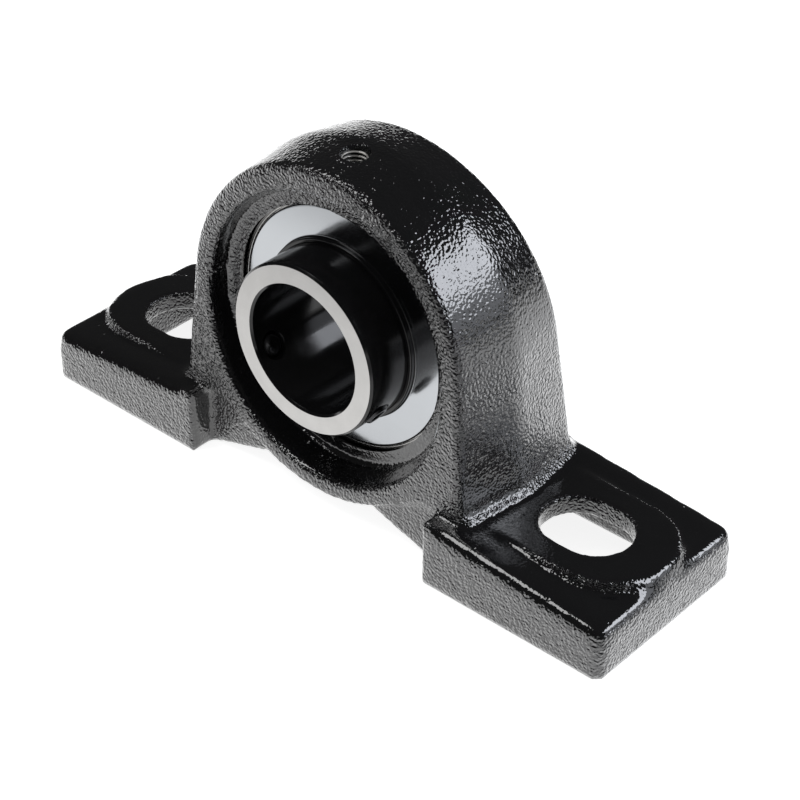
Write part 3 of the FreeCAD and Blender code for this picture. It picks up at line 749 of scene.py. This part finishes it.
def seat_tool():
    """What the boring bar takes out: the ball seat, and the bore through it."""
    lip = math.sqrt(SEAT_RADIUS ** 2 - SEAT_HALF ** 2)
    edge = math.degrees(math.asin(SEAT_HALF / SEAT_RADIUS))
    end = SEAT_HALF + PROUD
    section = [(AXIS_GAP, end, 0), (AXIS_GAP, -end, 0), (lip, -end, 0)]
    section += arc((0, 0), SEAT_RADIUS, -edge, edge, count=18)
    section += [(lip, end, 0)]
    segments = bpy.context.scene.bearing_insert.segments
    return new_object("seat_tool", lathe("seat_tool", softened(section), segments))


def loading_tool():
    """Slots at the back through which the insert goes in crosswise."""
    half = math.asin(LOADING_HALF / LOADING_RADIUS)
    steps = 24
    outline = []
    for side in (0, math.pi):
        for step in range(steps + 1):
            turn = side - half + 2 * half * step / steps
            outline.append((LOADING_RADIUS * math.cos(turn), CENTRE + LOADING_RADIUS * math.sin(turn)))
    rows = [[(x, y, z) for x, z in outline] for y in (0, SEAT_HALF + PROUD)]
    return new_object("loading_tool", skin("loading_tool", rows))


def port_tool():
    """Drill, tap and countersink of the grease port."""
    crown = crown_height()
    floor = crown - PORT_DEPTH
    steps = [
        (PORT_DUCT, CENTRE + 20 * MM), (PORT_DUCT, floor - 0.8 * MM), (THREAD_ROOT, floor),
        (THREAD_ROOT, crown - PORT_CHAMFER), (PORT_MOUTH, crown - 0.1 * MM),
        (PORT_MOUTH + 0.4 * MM, crown + PROUD),
    ]
    rows = [circle(radius, height, PORT_OFFSET) for radius, height in steps]
    return new_object("port_tool", skin("port_tool", rows))


def cast_housing():
    """Softened and grained skin over the housing's solid, with its seat, slots and port cut sharp."""
    casting = bpy.context.scene.bearing_casting
    thing = raw_casting("casting", casting.cell)
    mesh = thing.data
    points, _ = read_points(mesh)
    edges = read_edges(mesh)
    softer = spread(points, edges, casting.softening)
    points = softer + RECESS_KEEPS * recess_wall(points)[:, None] * (points - softer)
    points = round_off(points, edges, foot_edge(points), casting.rounding)
    points = round_off(points, edges, parting_line(points), casting.rounding)
    write_points(mesh, points)
    points, normals = read_points(mesh)
    weight = grain_weights(points, normals)
    depth = np.array([uneven(point) for point in points])
    points = points + normals * (depth * weight * casting.swell * 2)[:, None]
    low, high = np.array(CAD_BOX[0]), np.array(CAD_BOX[1])
    write_points(mesh, np.clip(points, low, high))
    carve(thing, [seat_tool(), loading_tool(), port_tool()])
    mesh = thing.data
    points, normals = read_points(mesh)
    grain = mesh.attributes.new("grain", "FLOAT", "POINT")
    grain.data.foreach_set("value", grain_weights(points, normals).astype(np.float32))
    smooth(mesh, CAST_SHARP)
    return finish_piece(thing, "housing", [enamel()], ["housing"])


def port_thread():
    """Threaded wall of the grease port, as a closed sleeve."""
    crown = crown_height()
    bottom = crown - PORT_DEPTH + 0.3 * MM
    top = crown - PORT_CHAMFER + 0.1 * MM
    run_out = 0.4 * MM
    root = THREAD_ROOT - 0.01 * MM
    depth = THREAD_ROOT - THREAD_CREST
    wall = THREAD_ROOT + 0.3 * MM

    def threaded(height):
        near_end = min(1, (top - height) / run_out)
        return lambda turn: root - depth * (thread_wave(turn, height, THREAD_PITCH) * near_end)

    rows = [loop(threaded(height), height, PORT_OFFSET) for height in np.linspace(bottom, top, 72)]
    rows += [circle(wall, height, PORT_OFFSET) for height in (top, bottom)]
    thing = new_object("grease_port_thread", skin("grease_port_thread", rows, closed=True))
    smooth(thing.data)
    return finish_piece(thing, "housing", [thread_enamel()])


# Insert

def outer_ring():
    """Outer ring, a ball on its outside, with its ball groove and the steps for seals and throwers."""
    segments = bpy.context.scene.bearing_insert.segments
    mouth = FLINGER + FLINGER_GAP
    floor = FLINGER_FACE - FLINGER_RIM - FLINGER_GAP
    ball_edge = math.degrees(math.asin(OUTER_HALF / OUTER_RADIUS))
    middle = PITCH + BALL + RACE_GAP - GROOVE
    groove_edge = math.degrees(math.acos((OUTER_LAND - middle) / GROOVE))
    rim = OUTER_RADIUS * math.cos(math.radians(ball_edge)) - 0.3 * MM
    ball_end = ball_edge - 0.6
    outside = arc((0, 0), OUTER_RADIUS, -ball_end, ball_end, count=24)
    groove = arc((middle, 0), GROOVE, groove_edge, -groove_edge, count=16)
    back = [
        (rim, OUTER_HALF, 0.08 * MM), (mouth, OUTER_HALF, 0.12 * MM), (mouth, floor, 0.05 * MM),
        (SEAL_SEAT, floor, 0.05 * MM), (SEAL_SEAT, SEAL_FACE, 0.05 * MM), (OUTER_LAND, SEAL_FACE, 0.1 * MM),
    ]
    front = [(radius, -along, rounding) for radius, along, rounding in reversed(back)]
    section = outside + back + groove + front
    thing = new_object("outer_race", lathe("outer_race", softened(section), segments))
    smooth(thing.data)
    steel = bearing_steel("outer_ring_steel")
    return finish_piece(thing, "outer_race", [steel], ["outer_ring"])


def screw_frame(angle):
    """Turns and shifts a piece that stands on +Z onto a radius of the inner ring."""
    turn = math.radians(angle)
    spin = Matrix.Rotation(math.pi / 2 - turn, 4, "Y")
    return Matrix.Translation((0, SCREW_ALONG, CENTRE)) @ spin


def drill(angle):
    """Tap drill with a light countersink at both ends."""
    bore_sink = 0.15 * MM
    collar_sink = 0.4 * MM
    outer_cone = 1.2 * MM
    steps = [
        (SCREW_HOLE + 0.9 * MM, BORE - 1.1 * MM), (SCREW_HOLE, BORE + bore_sink),
        (SCREW_HOLE, COLLAR - collar_sink), (SCREW_HOLE + outer_cone, COLLAR + outer_cone),
    ]
    mesh = skin("drill", [circle(radius, height) for radius, height in steps])
    mesh.transform(screw_frame(angle))
    return new_object("drill", mesh)


def inner_ring():
    """Inner ring: black outside and bore, ground end faces, drilled for its set screws."""
    segments = bpy.context.scene.bearing_insert.segments
    middle = PITCH - BALL - RACE_GAP + GROOVE
    groove_edge = math.degrees(math.acos((middle - COLLAR) / GROOVE))
    sheet_back = FLINGER_FACE - FLINGER_SHEET
    edge = 0.08 * MM
    section = [
        (BORE + RING_CHAMFER, INNER_FRONT, edge), (COLLAR - RING_CHAMFER, INNER_FRONT, edge),
        (COLLAR, INNER_FRONT + RING_CHAMFER, edge),
        (COLLAR, -HUB_END, 0), (HUB_SEAT, -HUB_END, 0), (HUB_SEAT, -sheet_back, 0), (COLLAR, -sheet_back, 0),
    ]
    section += arc((middle, 0), GROOVE, 180 + groove_edge, 180 - groove_edge, count=16)
    section += [
        (COLLAR, sheet_back, 0), (HUB_SEAT, sheet_back, 0), (HUB_SEAT, HUB_END, 0), (COLLAR, HUB_END, 0),
        (COLLAR, INNER_BACK - RING_CHAMFER, edge), (COLLAR - RING_CHAMFER, INNER_BACK, edge),
        (BORE + RING_CHAMFER, INNER_BACK, edge), (BORE, INNER_BACK - RING_CHAMFER, edge),
        (BORE, INNER_FRONT + RING_CHAMFER, edge),
    ]
    thing = new_object("inner_race", lathe("inner_race", softened(section), segments))
    carve(thing, [drill(angle) for angle in SCREW_ANGLES])
    smooth(thing.data)
    finish_piece(thing, "inner_race", [black_oxide_and_hub_reflection(), ground_steel()], ["inner_ring"])
    margin = 0.02 * MM
    for face in thing.data.polygons:
        at_end = face.center.y < INNER_FRONT + margin or face.center.y > INNER_BACK - margin
        face.material_index = 1 if at_end and abs(face.normal.y) > 0.95 else 0
    return thing


def thrower(name, side, solid, steels):
    """Pressed plate with a turned rim; its hub gets the black material as a painted reflection of the black
    collar.
    """
    segments = bpy.context.scene.bearing_insert.segments
    sheet_back = side * (FLINGER_FACE - FLINGER_SHEET)
    rim_back = side * (FLINGER_FACE - FLINGER_RIM)
    face_at = side * FLINGER_FACE
    hub_end = side * HUB_END
    section = [
        (HUB_SEAT, sheet_back, 0.1 * MM), (FLINGER - FLINGER_SHEET, sheet_back, 0.25 * MM),
        (FLINGER - FLINGER_SHEET, rim_back, 0.1 * MM), (FLINGER, rim_back, 0.1 * MM),
        (FLINGER, face_at, 0.5 * MM), (HUB, face_at, 0.3 * MM), (HUB, hub_end, 0.35 * MM),
        (HUB_SEAT, hub_end, 0.2 * MM),
    ]
    thing = new_object(name, lathe(name, softened(section, steps=6), segments))
    smooth(thing.data)
    finish_piece(thing, "inner_race", steels, [solid])
    # Hub faces take the second, black material: a painted reflection of the dark collar, not a finish of the
    # plate.
    for face in thing.data.polygons:
        reach = math.hypot(face.center.x, face.center.z - CENTRE)
        face.material_index = 1 if reach < HUB + 0.25 * MM else 0
    return thing


def seal(name, side, solid, rubber):
    """Lipped seal pressed into the outer ring."""
    inside = side * SEAL_FACE
    outside = side * (SEAL_FACE + SEAL_THICK)
    rim = side * SEAL_RIM
    lip = side * (SEAL_FACE + SEAL_THICK / 2)
    section = [
        (COLLAR + 0.05 * MM, lip, 0.1 * MM), (COLLAR + SEAL_THICK, inside, 0.1 * MM),
        (SEAL_SEAT, inside, 0.1 * MM), (SEAL_SEAT, rim, 0.2 * MM), (SEAL_SEAT - SEAL_THICK, rim, 0.2 * MM),
        (SEAL_SEAT - 2 * SEAL_THICK, outside, 0.1 * MM), (COLLAR + SEAL_THICK, outside, 0.1 * MM),
    ]
    thing = new_object(name, lathe(name, softened(section, steps=3), segments=128))
    smooth(thing.data)
    return finish_piece(thing, "outer_race", [rubber], [solid])


def hexagon(turn, across):
    """Radius of a hexagon at an angle."""
    sixth = math.pi / 3
    return across / 2 / math.cos((turn + sixth / 2) % sixth - sixth / 2)


def set_screw(index, angle, steel):
    """Set screw with a rolled thread, a cup point and a hexagon socket."""
    name = f"set_screw_{index}"
    root = SCREW_RADIUS - 0.46 * MM
    chamfer = 0.6 * MM
    cup_rim = 1.5 * MM
    cup_depth = 0.7 * MM
    socket = 3.0 * MM
    socket_floor = SCREW_LENGTH - 2.4 * MM
    socket_cone = 0.3 * MM
    bevel = 0.12 * MM
    middle = 0.2 * MM

    def threaded(height):
        limit = SCREW_RADIUS - max(0, chamfer - height, height - (SCREW_LENGTH - chamfer))
        return lambda turn: min(limit, root + (SCREW_RADIUS - root) * thread_wave(turn, height, SCREW_PITCH))

    steps = [(lambda turn: middle, cup_depth), (lambda turn: cup_rim, 0)]
    steps += [(threaded(height), height) for height in np.linspace(0, SCREW_LENGTH, 68)]
    steps += [
        (lambda turn: hexagon(turn, socket) + bevel, SCREW_LENGTH),
        (lambda turn: hexagon(turn, socket), SCREW_LENGTH - bevel),
        (lambda turn: hexagon(turn, socket), socket_floor),
        (lambda turn: middle, socket_floor - socket_cone),
    ]
    rows = [loop(radius_at, height, count=60) for radius_at, height in steps]
    mesh = skin(f"{name}_threaded", rows)
    mesh.transform(screw_frame(angle) @ Matrix.Translation((0, 0, SCREW_START)))
    thing = new_object(f"{name}_threaded", mesh)
    smooth(thing.data)
    return finish_piece(thing, name, [steel], [name])


def dress(node_name, material):
    """A solid that keeps its shape gets its finish."""
    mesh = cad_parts[node_name].data
    mesh.materials.clear()
    mesh.materials.append(material)


# Stage

def build_camera():
    """Camera on the photo's line of sight."""
    stage = bpy.context.scene.bearing_stage
    direction = Vector((
        math.sin(stage.azimuth) * math.cos(stage.elevation),
        -math.cos(stage.azimuth) * math.cos(stage.elevation),
        math.sin(stage.elevation)))
    data = bpy.data.cameras.new("camera")
    data.sensor_width = 36
    data.lens = stage.lens
    data.clip_start = 0.01
    data.clip_end = 20
    camera = new_object("camera", data)
    camera.location = Vector(stage.target) + direction * stage.distance
    camera.rotation_mode = "QUATERNION"
    camera.rotation_quaternion = (-direction).to_track_quat("-Z", "Y") @ Quaternion((0, 0, 1), stage.roll)
    bpy.context.scene.camera = camera


def build_floor():
    """Floor that the camera sees as white; what a gloss sees of it fades in front and to the right."""
    stage = bpy.context.scene.bearing_stage
    material = bpy.data.materials.new("floor")
    material.use_nodes = True
    tree = material.node_tree
    tree.nodes.clear()
    diffuse = node(tree, "ShaderNodeBsdfDiffuse", {"Color": (*stage.floor, 1)})
    glow = node(tree, "ShaderNodeEmission", {"Color": (*WHITE, 1)})
    both = node(tree, "ShaderNodeAddShader", {0: diffuse.outputs[0], 1: glow.outputs[0]})
    path = node(tree, "ShaderNodeLightPath")
    mirrored = maths(tree, "MAXIMUM", path.outputs["Is Glossy Ray"], path.outputs["Is Transmission Ray"])
    seen = maths(tree, "MULTIPLY", path.outputs["Is Camera Ray"], stage.glow)
    split = node(tree, "ShaderNodeSeparateXYZ", {0: node(tree, "ShaderNodeTexCoord").outputs["Object"]})
    x, y = split.outputs["X"], split.outputs["Y"]
    beyond = maths(tree, "MULTIPLY", ramp(tree, x, *FADE_RIGHT), ramp(tree, y, *FADE_SIDE))
    near = maths(tree, "MULTIPLY", ramp(tree, y, *FADE_FRONT, DIM_FLOOR, 1.0),
                 ramp(tree, beyond, 0.0, 1.0, 1.0, DIM_FLOOR))
    mirrored = maths(tree, "MULTIPLY", mirrored, near)
    tree.links.new(maths(tree, "MAXIMUM", seen, mirrored), glow.inputs["Strength"])
    out = node(tree, "ShaderNodeOutputMaterial")
    tree.links.new(both.outputs[0], out.inputs["Surface"])
    rim = loop(lambda turn: FLOOR_RADIUS, -FLOOR_DROP, count=96)
    mesh = bpy.data.meshes.new("floor")
    mesh.from_pydata(rim, [], [tuple(range(len(rim)))])
    floor = new_object("floor", mesh)
    mesh.materials.append(material)


def build_world():
    """White where the camera sees it; above the floor a gloss sees the dark room behind the lamps."""
    world = bpy.data.worlds.new("studio")
    bpy.context.scene.world = world
    world.use_nodes = True
    tree = world.node_tree
    tree.nodes.clear()
    height = node(tree, "ShaderNodeSeparateXYZ", {0: node(tree, "ShaderNodeTexCoord").outputs["Generated"]})
    room = ramp(tree, height.outputs["Z"], HORIZON, 0.0, 1.0, DARK_ROOM)
    path = node(tree, "ShaderNodeLightPath")
    light = ramp(tree, path.outputs["Is Camera Ray"], 0.0, 1.0, ROOM_LIGHT, 1.0)
    strength = node(tree, "ShaderNodeMix", {"A": light, "B": room}, data_type="FLOAT")
    tree.links.new(path.outputs["Is Glossy Ray"], strength.inputs["Factor"])
    back = node(tree, "ShaderNodeBackground", {"Color": (*WHITE, 1), "Strength": strength.outputs[0]})
    out = node(tree, "ShaderNodeOutputWorld")
    tree.links.new(back.outputs[0], out.inputs["Surface"])


def add_lamp(name, azimuth, elevation, width, height, power, colour=WHITE):
    """Soft box that faces the part; azimuth counts in degrees from +X towards +Y."""
    data = bpy.data.lights.new(name, "AREA")
    data.shape = "RECTANGLE"
    data.size = width
    data.size_y = height
    data.energy = power
    data.color = colour
    lamp = new_object(name, data)
    turn, rise = math.radians(azimuth), math.radians(elevation)
    direction = Vector((math.cos(turn) * math.cos(rise), math.sin(turn) * math.cos(rise), math.sin(rise)))
    lamp.location = direction * LAMP_DISTANCE + Vector((0, 0, CENTRE))
    lamp.rotation_mode = "QUATERNION"
    lamp.rotation_quaternion = direction.to_track_quat("Z", "Y")


def build_lamps():
    """Two soft boxes on the right make one tall window, and one on the left fills."""
    add_lamp("right_box", 30, 34, width=0.46, height=0.22, power=2.1, colour=COOL_WHITE)
    add_lamp("right_box_low", 28, 14, width=0.42, height=0.2, power=0.32, colour=COOL_WHITE)
    add_lamp("left_box", 218, 60, width=0.3, height=0.26, power=1.1)


# Operators

class BEARING_OT_casting(bpy.types.Operator):
    """Build the cast housing and the thread of its grease port"""
    bl_idname = "bearing.casting"
    bl_label = "Cast housing"

    def execute(self, context):
        cast_housing()
        port_thread()
        return {"FINISHED"}


class BEARING_OT_rings(bpy.types.Operator):
    """Build the outer and the inner ring"""
    bl_idname = "bearing.rings"
    bl_label = "Bearing rings"

    def execute(self, context):
        outer_ring()
        inner_ring()
        return {"FINISHED"}


class BEARING_OT_throwers(bpy.types.Operator):
    """Build the thrower plates on both sides"""
    bl_idname = "bearing.throwers"
    bl_label = "Thrower plates"

    def execute(self, context):
        # The second, black material paints the thrower hubs with a reflection of the black collar.
        steels = [polished_steel(), black_oxide_and_hub_reflection()]
        thrower("thrower_front", FRONT, "flinger_front", steels)
        thrower("thrower_back", BACK, "flinger_back", steels)
        return {"FINISHED"}


class BEARING_OT_seals(bpy.types.Operator):
    """Build the lipped seals behind the thrower plates"""
    bl_idname = "bearing.seals"
    bl_label = "Seals"

    def execute(self, context):
        rubber = seal_rubber()
        seal("lip_seal_front", FRONT, "seal_front", rubber)
        seal("lip_seal_back", BACK, "seal_back", rubber)
        return {"FINISHED"}


class BEARING_OT_balls(bpy.types.Operator):
    """Finish the balls, the cage and its rivets"""
    bl_idname = "bearing.balls"
    bl_label = "Balls and cage"

    def execute(self, context):
        bright = bearing_steel("ball_steel", 0.08)
        pressed = bearing_steel("cage_steel", 0.32)
        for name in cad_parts:
            if name.startswith("ball_"):
                dress(name, bright)
            if name.startswith("cage_"):
                dress(name, pressed)
        return {"FINISHED"}


class BEARING_OT_screws(bpy.types.Operator):
    """Build the two set screws"""
    bl_idname = "bearing.screws"
    bl_label = "Set screws"

    def execute(self, context):
        steel = bearing_steel("screw_steel", 0.3, (SCREW_DARK, SCREW_LIGHT))
        for index, angle in enumerate(SCREW_ANGLES, start=1):
            set_screw(index, angle, steel)
        return {"FINISHED"}


class BEARING_OT_stage(bpy.types.Operator):
    """Build the floor, the lamps, the world and the camera"""
    bl_idname = "bearing.stage"
    bl_label = "Stage"

    def execute(self, context):
        build_floor()
        build_world()
        build_lamps()
        build_camera()
        return {"FINISHED"}


OPERATORS = (
    BEARING_OT_casting, BEARING_OT_rings, BEARING_OT_throwers, BEARING_OT_seals, BEARING_OT_balls,
    BEARING_OT_screws, BEARING_OT_stage,
)


class BEARING_PT_panel(bpy.types.Panel):
    """Sizes, colours and steps of the pillow block bearing"""
    bl_idname = "BEARING_PT_panel"
    bl_label = "Pillow Block Bearing"
    bl_space_type = "VIEW_3D"
    bl_region_type = "UI"
    bl_category = "Bearing"

    def draw(self, context):
        for group in GROUPS:
            values = getattr(context.scene, group)
            box = self.layout.box()
            for name in values.__annotations__:
                box.prop(values, name)
        for operator in OPERATORS:
            self.layout.operator(operator.bl_idname)


GROUPS = {
    "bearing_casting": CastingSettings, "bearing_insert": InsertSettings, "bearing_stage": StageSettings,
}


def register():
    for name, group in GROUPS.items():
        bpy.utils.register_class(group)
        setattr(bpy.types.Scene, name, PointerProperty(type=group))
    for each in (*OPERATORS, BEARING_PT_panel):
        bpy.utils.register_class(each)


def unregister():
    for each in (BEARING_PT_panel, *OPERATORS):
        bpy.utils.unregister_class(each)
    for name, group in GROUPS.items():
        delattr(bpy.types.Scene, name)
        bpy.utils.unregister_class(group)


def main():
    register()
    bpy.context.scene.view_settings.view_transform = "Standard"
    bpy.ops.bearing.casting()
    bpy.ops.bearing.rings()
    bpy.ops.bearing.throwers()
    bpy.ops.bearing.seals()
    bpy.ops.bearing.balls()
    bpy.ops.bearing.screws()
    bpy.ops.bearing.stage()


if __name__ == "__main__":
    main()
